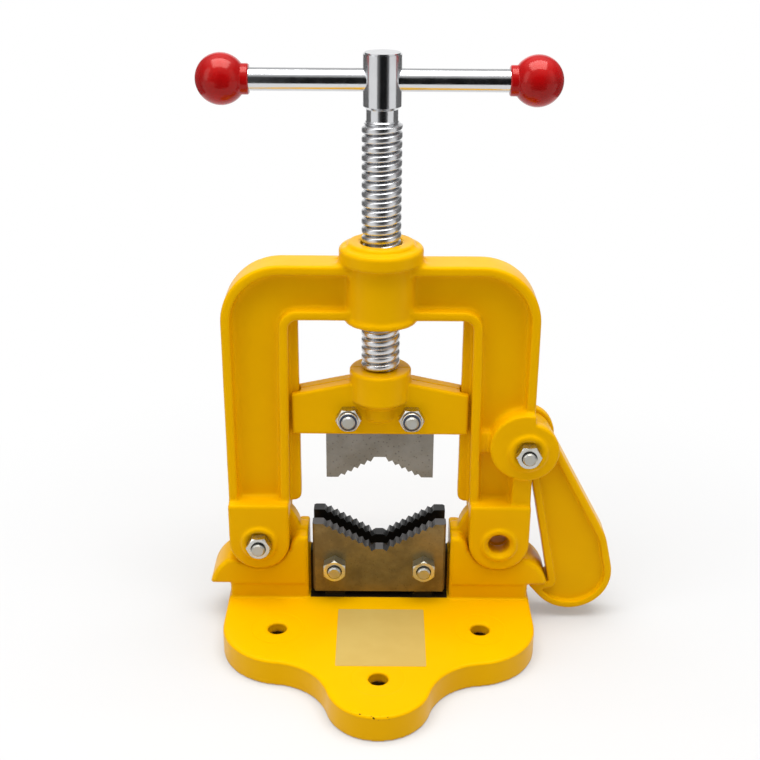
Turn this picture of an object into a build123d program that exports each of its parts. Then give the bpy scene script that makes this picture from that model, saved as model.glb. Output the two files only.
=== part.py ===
from build123d import *
import math
import os

# Pipe vise with a hinged yoke, in millimetres. X runs to the right, Y to the back and Z up.
# The origin lies on the underside of the foot, straight below the screw. At rest the yoke is
# closed, the latch hangs under the right wing and the jaws stand part open.

os.makedirs("parts", exist_ok=True)

# Screw and its travel
thread_radius = 11.0
thread_lead = 5.0
turns_down = 9
turns_up = 5
travel_down = turns_down * thread_lead
travel_up = turns_up * thread_lead

# Clearances
running_clearance = 0.08
bolt_clearance = 0.25
moving_clearance = 0.3

# Hexagon bolts and nuts, M8
bolt_radius = 4.0
hex_across_flats = 13.0
bolt_head_height = 5.3
nut_height = 6.8
lock_nut_height = 8.0
bolt_end_length = 2.5
hex_chamfer = 0.9
bolt_bore_radius = bolt_radius + bolt_clearance
pivot_bore_radius = bolt_radius + running_clearance

# Foot
foot_height = 16.4
foot_front = 78.0
foot_back = 24.0
foot_corner_radius = 38.0
foot_neck_radius = 35.0
foot_back_radius = 10.0
foot_skin = 7.0
foot_rim = 7.0
foot_edge_radius = 1.4
foot_rib_width = 16.0
foot_side_step = 1.5
front_lobe_radius = 29.5
front_lobe_y = -95.7
front_hole_y = -92.0
side_hole_x = 60.0
side_hole_y = -45.0
mounting_hole_radius = 5.5

# Jaws: toothed V plates
jaw_thickness = 7.5
lower_jaw_width = 80.4
lower_jaw_height = 47.3
lower_jaw_flat = 4.4
upper_jaw_width = 63.4
upper_jaw_flat = 4.8
upper_jaw_shoulder = 16.7
upper_jaw_grip = 20.2
tooth_pitch = 3.9
tooth_tread = 0.55
tooth_hook = 0.9
middle_tooth = 0.8
jaw_edge_cut = 1.2
lower_tooth_count = 8
upper_tooth_count = 6
vee_half_angle = 60.0
tooth_rise = tooth_pitch / math.tan(math.radians(vee_half_angle))
jaw_seat_height = 4.6
jaw_seat_length = 12.0
jaw_seat_setback = 3.0
lower_bolt_x = 27.0
lower_bolt_height = 18.0
rest_opening = 58.9

# Upright of the base, with a tongue in its middle and a pocket for each ear of the yoke
tongue_thickness = 10.0
tongue_radius = 24.6
tongue_wall_height = 45.4
upright_depth = 28.0
upright_side = 1.0
upright_edge_cut = 1.6
column_setback = 0.6
jaw_side_gap = 2.8
bay_wall = 11.0
cheek_height = 43.2
cheek_flat = 5.5
cheek_corner_drop = 9.5
wing_reach = 12.2
wing_underside_height = 10.1
wing_root_height = 27.6
wing_bulge = 1.6
pocket_clearance = 0.6
yoke_opening = 72.0

# Yoke: arch of I section with clevis ears
ear_radius = 18.0
hinge_height = 57.0
ear_depth = 33.0
ledge_height = 25.5
ring_radius = 10.7
ring_height = 1.5
counterbore_radius = 8.0
lock_pin_radius = 6.5
yoke_depth = 22.0
yoke_web = 8.0
yoke_flange = 5.5
yoke_bar_height = 32.0
yoke_outer_radius = 34.0
yoke_inner_radius = 5.5
yoke_edge_radius = 1.6
yoke_taper = 2.0
rib_reach = 7.0
rib_thickness = 6.8
rib_end_radius = 4.0

# Screw boss on the yoke
boss_radius = 19.5
boss_rim_radius = 21.0
boss_rim_height = 4.0
boss_drop = 2.5
boss_flange_radius = 23.6
boss_flange_height = 9.0
boss_ring_radius = 18.5
boss_ring_height = 2.4
screw_bore_clearance = 0.5
stop_gap = 4.6

# Latch and its clevis on the yoke
latch_offset_x = 14.2
latch_offset_z = 61.5
latch_thickness = 18.0
latch_eye_radius = 16.5
latch_rim = 4.5
latch_recess = 3.5
latch_edge_cut = 1.0
latch_seat_gap = 0.5
latch_throat_gap = 1.3
latch_leg_gap = 1.0
latch_neck_drop = 24.5
lobe_radius = 25.0
lobe_offset_x = 13.8
lobe_offset_z = 86.5
belly_radius = 30.5
belly_offset_x = 4.8
belly_offset_z = 71.5
hook_tip_radius = 1.5
hook_tip_overlap = 8.9
hook_tip_drop = 3.0
clevis_radius = 20.7
clevis_offset_x = 12.6
clevis_offset_z = 64.5
clevis_depth = 32.0
clevis_slot_clearance = 0.7
clevis_ring_radius = 11.5
latch_lobe_radius = 18.3
neck_width = 11.5
neck_depth = 26.0
bridge_width = 6.0
bridge_height = 13.0
bridge_depth = 17.0

# Jaw holder that rides on the ribs, in two halves
pusher_overlap = 4.2
pusher_depth = 16.0
pusher_end_height = 25.2
pusher_shoulder_height = 32.2
pusher_height = 39.6
pusher_boss_radius = 17.8
pusher_boss_length = 18.0
pusher_boss_slope = 4.6
pusher_tail_radius = 11.3
pusher_tail_end = 31.6
pusher_tail_cut = 3.0
pusher_edge_cut = 1.0
pusher_bolt_x = 18.3
pusher_bolt_height = 11.5
rib_slot_gap = 0.5

# Lower end of the screw, held in the jaw holder
groove_radius = 7.0
groove_length = 7.4
collar_radius = 9.5
collar_length = 8.5

# Head of the screw and the sliding T-bar
thread_length = 142.2
upper_neck_radius = 8.6
upper_neck_length = 8.1
head_radius = 10.3
head_length = 27.0
head_chamfer = 1.6
bar_height_in_head = 12.8
bar_radius = 6.0
bar_reach = 83.0
bar_rest_x = -1.6
bar_stub_radius = 4.0
bar_stub_length = 12.0
ball_radius = 13.5
ball_collar_radius = 8.0
ball_collar_length = 2.2

# Places worked out from the sizes above
foot_top = foot_height
web_half = tongue_thickness / 2
upright_half_depth = upright_depth / 2
ear_half_depth = ear_depth / 2
yoke_half_depth = yoke_depth / 2
bay_half_width = lower_jaw_width / 2 + jaw_side_gap
hinge_x = bay_half_width + bay_wall + ear_radius
hinge_z = hinge_height
yoke_half_width = hinge_x + ear_radius
upright_half_width = yoke_half_width + upright_side
foot_half_width = upright_half_width + foot_side_step
wing_tip_x = upright_half_width + wing_reach
wing_underside = foot_top + wing_underside_height
wing_root = foot_top + wing_root_height
cheek_top = foot_top + cheek_height
tongue_wall_top = foot_top + tongue_wall_height
pocket_radius = ear_radius + pocket_clearance
lower_jaw_bottom = foot_top + jaw_seat_height
lower_jaw_top = lower_jaw_bottom + lower_jaw_height
lower_root = lower_jaw_top - lower_tooth_count * tooth_rise
lower_bolt_z = lower_jaw_bottom + lower_bolt_height
upper_root = lower_root + rest_opening
upper_jaw_bottom = upper_root - upper_tooth_count * tooth_rise
jaw_outer_y = web_half + jaw_thickness
web_top = upper_jaw_bottom - travel_down - 4.0 * moving_clearance - bolt_radius
pusher_bottom = upper_root + upper_jaw_shoulder
pusher_top = pusher_bottom + pusher_height
pusher_bolt_z = pusher_bottom + pusher_bolt_height
upper_jaw_top = pusher_bottom + upper_jaw_grip
boss_bottom = pusher_top + travel_up + stop_gap
window_top = boss_bottom + boss_drop
yoke_top = window_top + yoke_bar_height
leg_inner = hinge_x - ear_radius
ledge_z = hinge_z + ledge_height
rib_x = leg_inner - rib_reach
pusher_half_width = rib_x + pusher_overlap
slot_radius = tongue_radius + 0.4
latch_x = hinge_x + latch_offset_x
latch_z = hinge_z + latch_offset_z
clevis_x = hinge_x + clevis_offset_x
clevis_z = hinge_z + clevis_offset_z
seat_radius = math.hypot(wing_tip_x - latch_x, latch_z - wing_underside + latch_seat_gap)
screw_top = pusher_top + thread_length + upper_neck_length + head_length
bar_z = screw_top - head_length + bar_height_in_head


def hex_prism(height, turn=30.0):
    """Hexagon with its corners turned down at one end, standing on the local XY plane."""
    with BuildPart() as prism:
        with BuildSketch():
            RegularPolygon(radius=hex_across_flats / 2, side_count=6, major_radius=False, rotation=turn)
        extrude(amount=height)
        with BuildSketch():
            Circle(hex_across_flats / math.sqrt(3))
        extrude(amount=height, mode=Mode.INTERSECT)
        with BuildPart(mode=Mode.INTERSECT):
            Cylinder(hex_across_flats / math.sqrt(3), height, align=(Align.CENTER, Align.CENTER, Align.MIN))
            chamfer(faces().sort_by(Axis.Z)[-1].edges(), length=hex_chamfer)
    return prism.part


def bolt_piece(x, z, back_face, front_face, end_length):
    """Bolt along Y with its head on the back face and its threaded end past the nut in front."""
    with BuildPart() as bolt:
        with BuildSketch(Plane.XZ.offset(-back_face)):
            with Locations((x, z)):
                Circle(bolt_radius)
        extrude(amount=back_face + front_face + end_length)
        chamfer(bolt.edges().group_by(Axis.Y)[0], length=0.8)
        head_plane = Plane(origin=(x, back_face, z), x_dir=(1, 0, 0), z_dir=(0, 1, 0))
        add(head_plane * hex_prism(bolt_head_height))
    return bolt.part


def nut_piece(x, z, front_face, height, turn, collar=False):
    """Hexagon nut on the front face; a lock nut ends in a round collar over its plastic ring."""
    nut_plane = Plane(origin=(x, -front_face, z), x_dir=(1, 0, 0), z_dir=(0, -1, 0))
    hex_height = height - hex_chamfer - 1.0 if collar else height
    with BuildPart() as nut:
        add(nut_plane * hex_prism(hex_height, turn))
        if collar:
            with BuildSketch(nut_plane.offset(hex_height)):
                Circle(hex_across_flats / 2 - 0.6)
            extrude(amount=height - hex_height)
            fillet(nut.faces().sort_by(Axis.Y)[0].edges(), radius=1.2)
        with BuildSketch(nut_plane):
            Circle(bolt_radius + running_clearance)
        extrude(amount=height, mode=Mode.SUBTRACT)
    return nut.part


def rounded_bar(first, first_radius, second, second_radius):
    """Two circles joined by their outer tangents, drawn in the current sketch."""
    reach = math.dist(first, second)
    angle = math.atan2(second[1] - first[1], second[0] - first[0])
    lean = math.acos((first_radius - second_radius) / reach)
    points = []
    for centre, radius, turn in (
        (first, first_radius, lean),
        (second, second_radius, lean),
        (second, second_radius, -lean),
        (first, first_radius, -lean),
    ):
        points.append((centre[0] + radius * math.cos(angle + turn), centre[1] + radius * math.sin(angle + turn)))
    with Locations(first):
        Circle(first_radius)
    with Locations(second):
        Circle(second_radius)
    Polygon(*points, align=None)


def keep(part, name):
    """Label one finished piece and write it to its own file."""
    part.label = name
    export_step(part, f"parts/{name}.step")
    print(name, round(part.volume), "mm3")


def vee_points(half_width, flat, count, root, direction, middle=0.0):
    """Right half of a V edge with pointed teeth, from the middle outward; direction 1 rises, -1 falls."""
    x = half_width - flat - count * tooth_pitch
    z = root
    points = [(x, z - direction * middle)]
    if middle > 0:
        points.insert(0, (x / 2, z + direction * middle))
    for step in range(count):
        tip = tooth_rise + (tooth_hook if step < count - 1 else 0.0)
        points.append((x + tooth_pitch * (1 - tooth_tread), z + direction * tip))
        x = x + tooth_pitch
        z = z + direction * tooth_rise
        points.append((x, z))
    points.append((half_width, z))
    return points


# Base casting, in two nodes that meet at the top of the foot: foot with three lobes, hollow underneath
# Each front corner runs into the front lobe over one hollow arc that touches both
corner_at = Vector(foot_half_width - foot_corner_radius, foot_corner_radius - foot_front)
lobe_centre = Vector(0, front_lobe_y)
span = corner_at - lobe_centre
lobe_side = front_lobe_radius + foot_neck_radius
corner_side = foot_corner_radius + foot_neck_radius
along = (lobe_side**2 - corner_side**2 + span.length**2) / (2 * span.length)
aside = math.sqrt(lobe_side**2 - along**2)
neck_at = lobe_centre + span.normalized() * along + span.normalized().rotate(Axis.Z, -90) * aside
corner_touch = corner_at + (neck_at - corner_at).normalized() * foot_corner_radius
lobe_touch = lobe_centre + (neck_at - lobe_centre).normalized() * front_lobe_radius

with BuildSketch() as foot_outline:
    with BuildLine():
        Polyline((0, foot_back), (foot_half_width, foot_back), (foot_half_width, corner_at.Y))
        corner_arc = TangentArc((foot_half_width, corner_at.Y), corner_touch, tangent=(0, -1))
        neck_arc = TangentArc(corner_touch, lobe_touch, tangent=corner_arc % 1)
        TangentArc(lobe_touch, (0, front_lobe_y - front_lobe_radius), tangent=neck_arc % 1)
        mirror(about=Plane.YZ)
    make_face()
    fillet(foot_outline.vertices().group_by(Axis.Y)[-1].sort_by(Axis.X)[0], radius=foot_back_radius)
    fillet(foot_outline.vertices().group_by(Axis.Y)[-1].sort_by(Axis.X)[-1], radius=foot_back_radius)

with BuildSketch() as foot_hollow:
    add(foot_outline.sketch)
    offset(amount=-foot_rim, mode=Mode.REPLACE)
    Rectangle(2 * foot_half_width, foot_rib_width, mode=Mode.SUBTRACT)

with BuildSketch(Plane.XZ) as right_cheek:
    with BuildLine():
        pocket_edge_z = cheek_top - cheek_corner_drop
        corner_x = bay_half_width + cheek_flat
        wing_middle_x = (upright_half_width + wing_tip_x) / 2 + wing_bulge
        wing_middle_z = (wing_root + wing_underside) / 2 + wing_bulge
        Polyline(
            (wing_tip_x, wing_underside),
            (upright_half_width, wing_underside),
            (upright_half_width, foot_top),
            (bay_half_width, foot_top),
            (bay_half_width, cheek_top),
            (corner_x, cheek_top),
        )
        RadiusArc((corner_x, cheek_top), (leg_inner + moving_clearance, pocket_edge_z), cheek_corner_drop * 1.3)
        Line((leg_inner + moving_clearance, pocket_edge_z), (upright_half_width, wing_root))
        ThreePointArc(
            (upright_half_width, wing_root), (wing_middle_x, wing_middle_z), (wing_tip_x, wing_underside)
        )
    make_face()

with BuildSketch(Plane.XZ) as right_tongue:
    with Locations((hinge_x, hinge_z)):
        Circle(tongue_radius)
    with Locations(((bay_half_width + hinge_x) / 2, (foot_top + tongue_wall_top) / 2)):
        Rectangle(hinge_x - bay_half_width, tongue_wall_top - foot_top)
    with Locations(((bay_half_width + yoke_half_width) / 2, hinge_z)):
        Rectangle(yoke_half_width - bay_half_width, 4 * tongue_radius, mode=Mode.INTERSECT)

with BuildPart() as right_side:
    extrude(right_cheek.sketch, amount=upright_half_depth, both=True)
    side_edges = right_side.faces().filter_by(Axis.Y).edges()
    chamfer(side_edges.filter_by_position(Axis.Z, foot_top + 0.1, tongue_wall_top), length=upright_edge_cut)
    for side in (-1, 1):
        with BuildSketch(Plane.XZ.offset(side * web_half)):
            with Locations((hinge_x, hinge_z)):
                Circle(pocket_radius)
        extrude(amount=side * upright_half_depth, mode=Mode.SUBTRACT)
        with Locations(((bay_half_width + upright_half_width) / 2, side * upright_half_depth, foot_top)):
            Box(2 * bay_wall + 4 * ear_radius, 2 * column_setback, wing_underside_height,
                align=(Align.CENTER, Align.CENTER, Align.MIN), mode=Mode.SUBTRACT)
    extrude(right_tongue.sketch, amount=web_half, both=True)

with BuildPart() as foot:
    with BuildSketch():
        add(foot_outline.sketch)
    extrude(amount=foot_height)
    fillet(foot.faces().sort_by(Axis.Z)[-1].edges(), radius=foot_edge_radius)
    extrude(foot_hollow.sketch, amount=foot_height - foot_skin, mode=Mode.SUBTRACT)
    with Locations((side_hole_x, side_hole_y, 0), (-side_hole_x, side_hole_y, 0), (0, front_hole_y, 0)):
        Cylinder(mounting_hole_radius, 3 * foot_height, mode=Mode.SUBTRACT)

with BuildPart() as upright:
    add(right_side.part)
    add(mirror(right_side.part, about=Plane.YZ, mode=Mode.PRIVATE))
    # Relief beside the left pocket, where the yoke's leg comes down when it is opened
    normal = (-math.cos(math.radians(yoke_opening)), -math.sin(math.radians(yoke_opening)))
    touch_x = -hinge_x + pocket_radius * normal[0]
    touch_z = hinge_z + pocket_radius * normal[1]
    far_x = touch_x + 3 * ear_radius * normal[1]
    far_z = touch_z - 3 * ear_radius * normal[0]
    for side in (-1, 1):
        with BuildSketch(Plane.XZ.offset(side * web_half)):
            Polygon((-hinge_x, hinge_z), (touch_x, touch_z), (far_x, far_z), (far_x, far_z + ear_radius),
                    (-hinge_x, far_z + ear_radius), align=None)
        extrude(amount=side * upright_half_depth, mode=Mode.SUBTRACT)
    with BuildSketch(Plane.XZ):
        with Locations((0, (foot_top + web_top) / 2)):
            Rectangle(2 * bay_half_width + 2 * upright_edge_cut, web_top - foot_top)
    extrude(amount=web_half, both=True)
    seat_depth = jaw_thickness - jaw_seat_setback
    seat_y = web_half + seat_depth / 2
    seat_x = lower_bolt_x
    with Locations(*[(x, y, foot_top) for x in (-seat_x, seat_x) for y in (-seat_y, seat_y)]):
        Box(jaw_seat_length, seat_depth, jaw_seat_height, align=(Align.CENTER, Align.CENTER, Align.MIN))
    with BuildSketch(Plane.XZ):
        with Locations((-lower_bolt_x, lower_bolt_z), (lower_bolt_x, lower_bolt_z)):
            Circle(bolt_bore_radius)
        with Locations((-hinge_x, hinge_z)):
            Circle(pivot_bore_radius)
        with Locations((hinge_x, hinge_z)):
            Circle(lock_pin_radius)
    extrude(amount=upright_depth, both=True, mode=Mode.SUBTRACT)


# Lower jaw plates, one each side of the web
def lower_jaw(side):
    with BuildPart() as jaw:
        with BuildSketch(Plane.XZ.offset(-side * web_half)):
            right_edge = vee_points(lower_jaw_width / 2, lower_jaw_flat, lower_tooth_count, lower_root, 1, middle_tooth)
            left_edge = [(-x, z) for x, z in reversed(right_edge)]
            bottom = [(lower_jaw_width / 2, lower_jaw_bottom), (-lower_jaw_width / 2, lower_jaw_bottom)]
            with BuildLine():
                Polyline(*left_edge, *right_edge, *bottom, close=True)
            make_face()
            with Locations((-lower_bolt_x, lower_bolt_z), (lower_bolt_x, lower_bolt_z)):
                Circle(bolt_bore_radius, mode=Mode.SUBTRACT)
        extrude(amount=-side * jaw_thickness)
        chamfer(jaw.edges().filter_by(Axis.Y).group_by(Axis.Z)[0], length=jaw_edge_cut)
        outer_face = jaw.faces().sort_by(Axis.Y)[-1 if side > 0 else 0]
        chamfer(outer_face.edges().filter_by(Axis.Z), length=jaw_edge_cut)
    return jaw.part


# Yoke casting
with BuildSketch(Plane.XZ) as arch:
    with BuildLine():
        window_half_top = leg_inner - yoke_taper
        FilletPolyline(
            (yoke_half_width, hinge_z),
            (yoke_half_width, yoke_top),
            (-yoke_half_width, yoke_top),
            (-yoke_half_width, hinge_z),
            radius=yoke_outer_radius,
        )
        Line((-yoke_half_width, hinge_z), (-leg_inner, hinge_z))
        FilletPolyline(
            (-leg_inner, hinge_z),
            (-window_half_top, window_top),
            (window_half_top, window_top),
            (leg_inner, hinge_z),
            radius=yoke_inner_radius,
        )
        Line((leg_inner, hinge_z), (yoke_half_width, hinge_z))
    make_face()

with BuildSketch(Plane.XZ) as arch_recess:
    add(arch.sketch)
    offset(amount=-yoke_flange, mode=Mode.REPLACE)
    with Locations((0, hinge_z)):
        Rectangle(4 * yoke_half_width, 2 * ledge_height, mode=Mode.SUBTRACT)

with BuildSketch(Plane.XZ) as ears:
    with Locations((hinge_x, hinge_z), (-hinge_x, hinge_z)):
        Circle(ear_radius)
    with Locations((hinge_x, hinge_z + ledge_height / 2), (-hinge_x, hinge_z + ledge_height / 2)):
        Rectangle(2 * ear_radius, ledge_height)

with BuildSketch(Plane.XZ) as clevis:
    with Locations((clevis_x, clevis_z)):
        Circle(clevis_radius)
    with Locations((yoke_half_width - clevis_radius, clevis_z)):
        Rectangle(2 * clevis_radius, 4 * clevis_radius, mode=Mode.INTERSECT)
    with Locations((latch_x, latch_z)):
        Circle(latch_lobe_radius)

with BuildSketch(Plane.XZ) as clevis_slot:
    with Locations((latch_x, latch_z)):
        Circle(latch_eye_radius + clevis_slot_clearance)
        with Locations((clevis_radius, 0)):
            Rectangle(2 * clevis_radius, 2 * (clevis_z + clevis_radius - latch_z) - 2.0)

with BuildSketch(Plane.XZ) as ribs:
    rib_top = window_top + 1.0
    rib_bottom = ledge_z - moving_clearance * 10
    for side in (-1, 1):
        with Locations((side * (rib_x + rib_reach / 2 + 1.0), (rib_top + rib_bottom) / 2)):
            Rectangle(rib_reach + 2.0, rib_top - rib_bottom)
    fillet(ribs.vertices().group_by(Axis.Z)[0].filter_by_position(Axis.X, -rib_x - 0.1, rib_x + 0.1),
           radius=rib_end_radius)

with BuildPart() as yoke:
    extrude(arch.sketch, amount=yoke_half_depth, both=True)
    fillet(yoke.faces().filter_by(Axis.Y).edges(), radius=yoke_edge_radius)
    for side in (-1, 1):
        with BuildSketch(Plane.XZ.offset(side * yoke_half_depth)):
            add(arch_recess.sketch)
        extrude(amount=-side * (yoke_half_depth - yoke_web / 2), mode=Mode.SUBTRACT)
    extrude(ribs.sketch, amount=rib_thickness / 2, both=True)
    with Locations((latch_x + neck_width / 2 - (latch_x + neck_width - yoke_half_width), 0, ledge_z + 10.0)):
        Box(neck_width, neck_depth, 22.0)
    with Locations((leg_inner + yoke_flange + bridge_width / 2 - 1.0, 0, clevis_z)):
        Box(bridge_width, bridge_depth, bridge_height)
    extrude(clevis.sketch, amount=clevis_depth / 2, both=True)
    extrude(ears.sketch, amount=ear_half_depth, both=True)
    with BuildSketch(Plane.XZ):
        with Locations((hinge_x, hinge_z), (-hinge_x, hinge_z)):
            Circle(ring_radius)
    extrude(amount=ear_half_depth + ring_height, both=True)
    with BuildSketch(Plane.XZ):
        with Locations((latch_x, latch_z)):
            Circle(clevis_ring_radius)
    extrude(amount=clevis_depth / 2 + ring_height, both=True)
    extrude(clevis_slot.sketch, amount=latch_thickness / 2 + moving_clearance, both=True, mode=Mode.SUBTRACT)
    with BuildSketch(Plane.XZ):
        with Locations((hinge_x, hinge_z), (-hinge_x, hinge_z)):
            Circle(slot_radius)
    extrude(amount=web_half + moving_clearance, both=True, mode=Mode.SUBTRACT)
    with BuildSketch(Plane.XZ):
        with Locations((-hinge_x, hinge_z), (latch_x, latch_z)):
            Circle(pivot_bore_radius)
        with Locations((hinge_x, hinge_z)):
            Circle(lock_pin_radius)
    extrude(amount=ear_depth, both=True, mode=Mode.SUBTRACT)
    for side in (-1, 1):
        with BuildSketch(Plane.XZ.offset(side * ear_half_depth)):
            with Locations((hinge_x, hinge_z), (-hinge_x, hinge_z)):
                Circle(counterbore_radius)
        extrude(amount=side * 2 * ring_height, mode=Mode.SUBTRACT)
        with BuildSketch(Plane.XZ.offset(side * clevis_depth / 2)):
            with Locations((latch_x, latch_z)):
                Circle(counterbore_radius)
        extrude(amount=side * 2 * ring_height, mode=Mode.SUBTRACT)
    with BuildSketch(Plane.XZ):
        with BuildLine():
            flange_top = yoke_top + boss_flange_height
            Polyline(
                (0, boss_bottom),
                (boss_rim_radius, boss_bottom),
                (boss_rim_radius, boss_bottom + boss_rim_height - 1.5),
                (boss_radius, boss_bottom + boss_rim_height),
                (boss_radius, yoke_top),
                (boss_flange_radius, yoke_top),
                (boss_flange_radius, flange_top - 1.5),
                (boss_flange_radius - 1.5, flange_top),
                (boss_ring_radius + 0.8, flange_top),
                (boss_ring_radius, flange_top + boss_ring_height),
                (0, flange_top + boss_ring_height),
                close=True,
            )
        make_face()
    revolve(axis=Axis.Z)
    Cylinder(thread_radius + screw_bore_clearance, 3 * yoke_top, mode=Mode.SUBTRACT)


# Latch: a cast arm with a hook that reaches under the wing
with BuildSketch(Plane.XZ) as latch_outline:
    lobe_at = (yoke_half_width + lobe_offset_x + latch_offset_x, latch_z - lobe_offset_z)
    belly_at = (yoke_half_width + belly_offset_x + latch_offset_x, latch_z - belly_offset_z)
    tip_at = (wing_tip_x - hook_tip_overlap, wing_underside - hook_tip_drop)
    eye_at = (latch_x, latch_z)
    rounded_bar(eye_at, latch_eye_radius, belly_at, belly_radius)
    rounded_bar(belly_at, belly_radius, lobe_at, lobe_radius)
    low_z = lobe_at[1] - 3 * lobe_radius
    high_z = latch_z + 3 * latch_eye_radius
    left_x = latch_x - 6 * latch_eye_radius
    Polygon(eye_at, lobe_at, (lobe_at[0], low_z), (left_x, low_z), (left_x, high_z), (latch_x, high_z),
            align=None, mode=Mode.SUBTRACT)
    rounded_bar(eye_at, latch_eye_radius, lobe_at, lobe_radius)
    rounded_bar(lobe_at, lobe_radius, tip_at, hook_tip_radius)
    Polygon(eye_at, tip_at, lobe_at, align=None)

with BuildSketch(Plane.XZ) as throat:
    throat_foot = (wing_tip_x + latch_throat_gap, wing_underside - latch_seat_gap)
    throat_top = (yoke_half_width + latch_leg_gap, latch_z - latch_neck_drop)
    throat_end = (2 * throat_foot[0] - throat_top[0], 2 * throat_foot[1] - throat_top[1])
    throat_left = latch_x - 3 * latch_eye_radius
    with Locations(eye_at):
        Circle(seat_radius)
    Polygon(throat_foot, throat_top, eye_at, (throat_left, latch_z), (throat_left, throat_end[1]), throat_end,
            align=None, mode=Mode.INTERSECT)
    with Locations(eye_at):
        Circle(latch_eye_radius, mode=Mode.SUBTRACT)

with BuildSketch(Plane.XZ) as latch_pocket:
    add(latch_outline.sketch)
    add(throat.sketch, mode=Mode.SUBTRACT)
    offset(amount=-latch_rim, mode=Mode.REPLACE)
    with Locations(eye_at):
        Circle(latch_eye_radius + 2.0, mode=Mode.SUBTRACT)

with BuildPart() as latch:
    extrude(latch_outline.sketch, amount=latch_thickness / 2, both=True)
    chamfer(latch.faces().filter_by(Axis.Y).edges(), length=latch_edge_cut)
    extrude(throat.sketch, amount=latch_thickness, both=True, mode=Mode.SUBTRACT)
    for side in (-1, 1):
        with BuildSketch(Plane.XZ.offset(side * latch_thickness / 2)):
            add(latch_pocket.sketch)
        extrude(amount=-side * latch_recess, mode=Mode.SUBTRACT)
    with BuildSketch(Plane.XZ):
        with Locations(eye_at):
            Circle(pivot_bore_radius)
    extrude(amount=latch_thickness, both=True, mode=Mode.SUBTRACT)


# Jaw holder, modelled whole and then parted at the middle plane
with BuildPart() as pusher:
    with BuildSketch(Plane.XZ):
        with BuildLine():
            end_top = pusher_bottom + pusher_end_height
            shoulder = pusher_bottom + pusher_shoulder_height
            Polyline(
                (-pusher_half_width, pusher_bottom),
                (pusher_half_width, pusher_bottom),
                (pusher_half_width, end_top),
                (pusher_boss_radius, shoulder),
                (-pusher_boss_radius, shoulder),
                (-pusher_half_width, end_top),
                close=True,
            )
        make_face()
    extrude(amount=pusher_depth / 2, both=True)
    chamfer(pusher.faces().filter_by(Axis.Y).edges(), length=pusher_edge_cut)
    with BuildSketch(Plane.XZ):
        with BuildLine():
            boss_foot = pusher_top - pusher_boss_length
            Line((0, pusher_top), (pusher_boss_radius - 1.0, pusher_top))
            Line((pusher_boss_radius - 1.0, pusher_top), (pusher_boss_radius, pusher_top - 1.0))
            Line((pusher_boss_radius, pusher_top - 1.0), (pusher_boss_radius, boss_foot))
            tail_top = boss_foot - pusher_boss_slope
            tail_end = pusher_top - pusher_tail_end
            Polyline(
                (pusher_boss_radius, boss_foot),
                (pusher_tail_radius, tail_top),
                (pusher_tail_radius, tail_end + pusher_tail_cut),
                (pusher_tail_radius - pusher_tail_cut / 3, tail_end + pusher_tail_cut / 3),
                (pusher_tail_radius - pusher_tail_cut, tail_end),
                (0, tail_end),
                (0, pusher_top),
            )
        make_face()
    revolve(axis=Axis.Z)
    with BuildSketch(Plane.XZ):
        with Locations((0, (pusher_bottom + upper_jaw_top) / 2)):
            Rectangle(upper_jaw_width + 2 * moving_clearance, upper_jaw_top - pusher_bottom)
        slot_x = rib_x - rib_slot_gap
        for side in (-1, 1):
            with Locations((side * (slot_x + pusher_half_width), pusher_bottom)):
                Rectangle(2 * pusher_half_width, 4 * pusher_height)
    extrude(amount=jaw_thickness / 2, both=True, mode=Mode.SUBTRACT)
    with Locations((0, 0, pusher_top)):
        Cylinder(groove_radius + moving_clearance, 2 * groove_length, mode=Mode.SUBTRACT)
    with Locations((0, 0, pusher_top - groove_length + moving_clearance)):
        Cylinder(collar_radius + moving_clearance, collar_length + 2 * moving_clearance,
                 align=(Align.CENTER, Align.CENTER, Align.MAX), mode=Mode.SUBTRACT)
    with BuildSketch(Plane.XZ):
        with Locations((-pusher_bolt_x, pusher_bolt_z), (pusher_bolt_x, pusher_bolt_z)):
            Circle(bolt_bore_radius)
    extrude(amount=pusher_depth, both=True, mode=Mode.SUBTRACT)
    for side in (-1, 1):
        with BuildSketch(Plane.XZ.offset(side * pusher_depth / 2)):
            with Locations((-pusher_bolt_x, pusher_bolt_z), (pusher_bolt_x, pusher_bolt_z)):
                Circle(hex_across_flats / math.sqrt(3) + moving_clearance)
        extrude(amount=side * pusher_boss_radius, mode=Mode.SUBTRACT)

with BuildPart() as pusher_front:
    add(pusher.part)
    split(bisect_by=Plane.XZ, keep=Keep.TOP)

with BuildPart() as pusher_rear:
    add(pusher.part)
    split(bisect_by=Plane.XZ, keep=Keep.BOTTOM)

with BuildPart() as upper_jaw:
    with BuildSketch(Plane.XZ):
        right_edge = vee_points(upper_jaw_width / 2, upper_jaw_flat, upper_tooth_count, upper_root, -1)
        left_edge = [(-x, z) for x, z in reversed(right_edge)]
        top = [(upper_jaw_width / 2, upper_jaw_top), (-upper_jaw_width / 2, upper_jaw_top)]
        with BuildLine():
            Polyline(*left_edge, *right_edge, *top, close=True)
        make_face()
        with Locations((-pusher_bolt_x, pusher_bolt_z), (pusher_bolt_x, pusher_bolt_z)):
            Circle(bolt_bore_radius, mode=Mode.SUBTRACT)
    extrude(amount=jaw_thickness / 2, both=True)


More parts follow.
